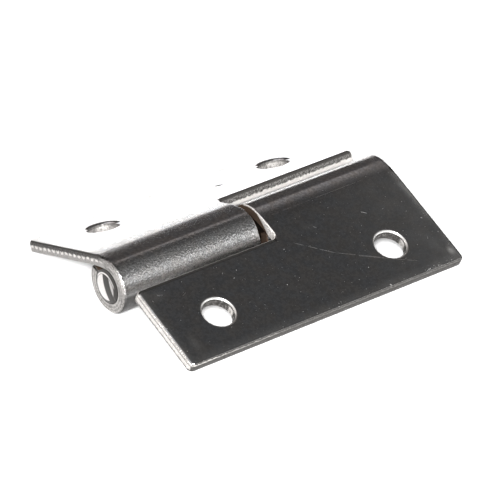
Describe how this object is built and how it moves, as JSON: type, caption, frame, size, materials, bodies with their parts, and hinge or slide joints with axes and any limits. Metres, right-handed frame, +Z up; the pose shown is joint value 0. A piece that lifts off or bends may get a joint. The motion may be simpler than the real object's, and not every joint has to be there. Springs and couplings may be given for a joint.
{
  "type": "lift-off hinge",
  "caption": "Polished steel lift-off hinge: flat screw-on leaves with rolled knuckles turn on a round pin, and one leaf slides off it.",
  "frame": {"origin": "on the table, straight below the middle of the pin's axis and of the hinge's length", "axes": "+X along the pin, away from its free end; +Y towards the lift-off leaf; +Z up, with the hinge lying on its two free edges and its barrel"},
  "size_m": [0.0508, 0.0392, 0.0086],
  "materials": {
    "pin_leaf_steel": "polished sheet steel with fine scratches",
    "lift_off_leaf_steel": "polished sheet steel with fine scratches",
    "pin_steel": "turned and polished steel"
  },
  "bodies": {
    "pin_leaf": {"pin_leaf": "pin_leaf_steel"},
    "hinge_pin": {"hinge_pin": "pin_steel"},
    "lift_off_leaf": {"lift_off_leaf": "lift_off_leaf_steel"}
  },
  "joints": [
    {"name": "swing", "type": "hinge", "parent": "pin_leaf", "child": "hinge_pin", "pos_m": [0, 0, 0.00428], "axis": [1, 0, 0], "range_deg": [-138.9, 131.1]},
    {"name": "lift_off", "type": "slide", "parent": "hinge_pin", "child": "lift_off_leaf", "axis": [-1, 0, 0], "range_m": [-0.00115, 0.026]}
  ]
}
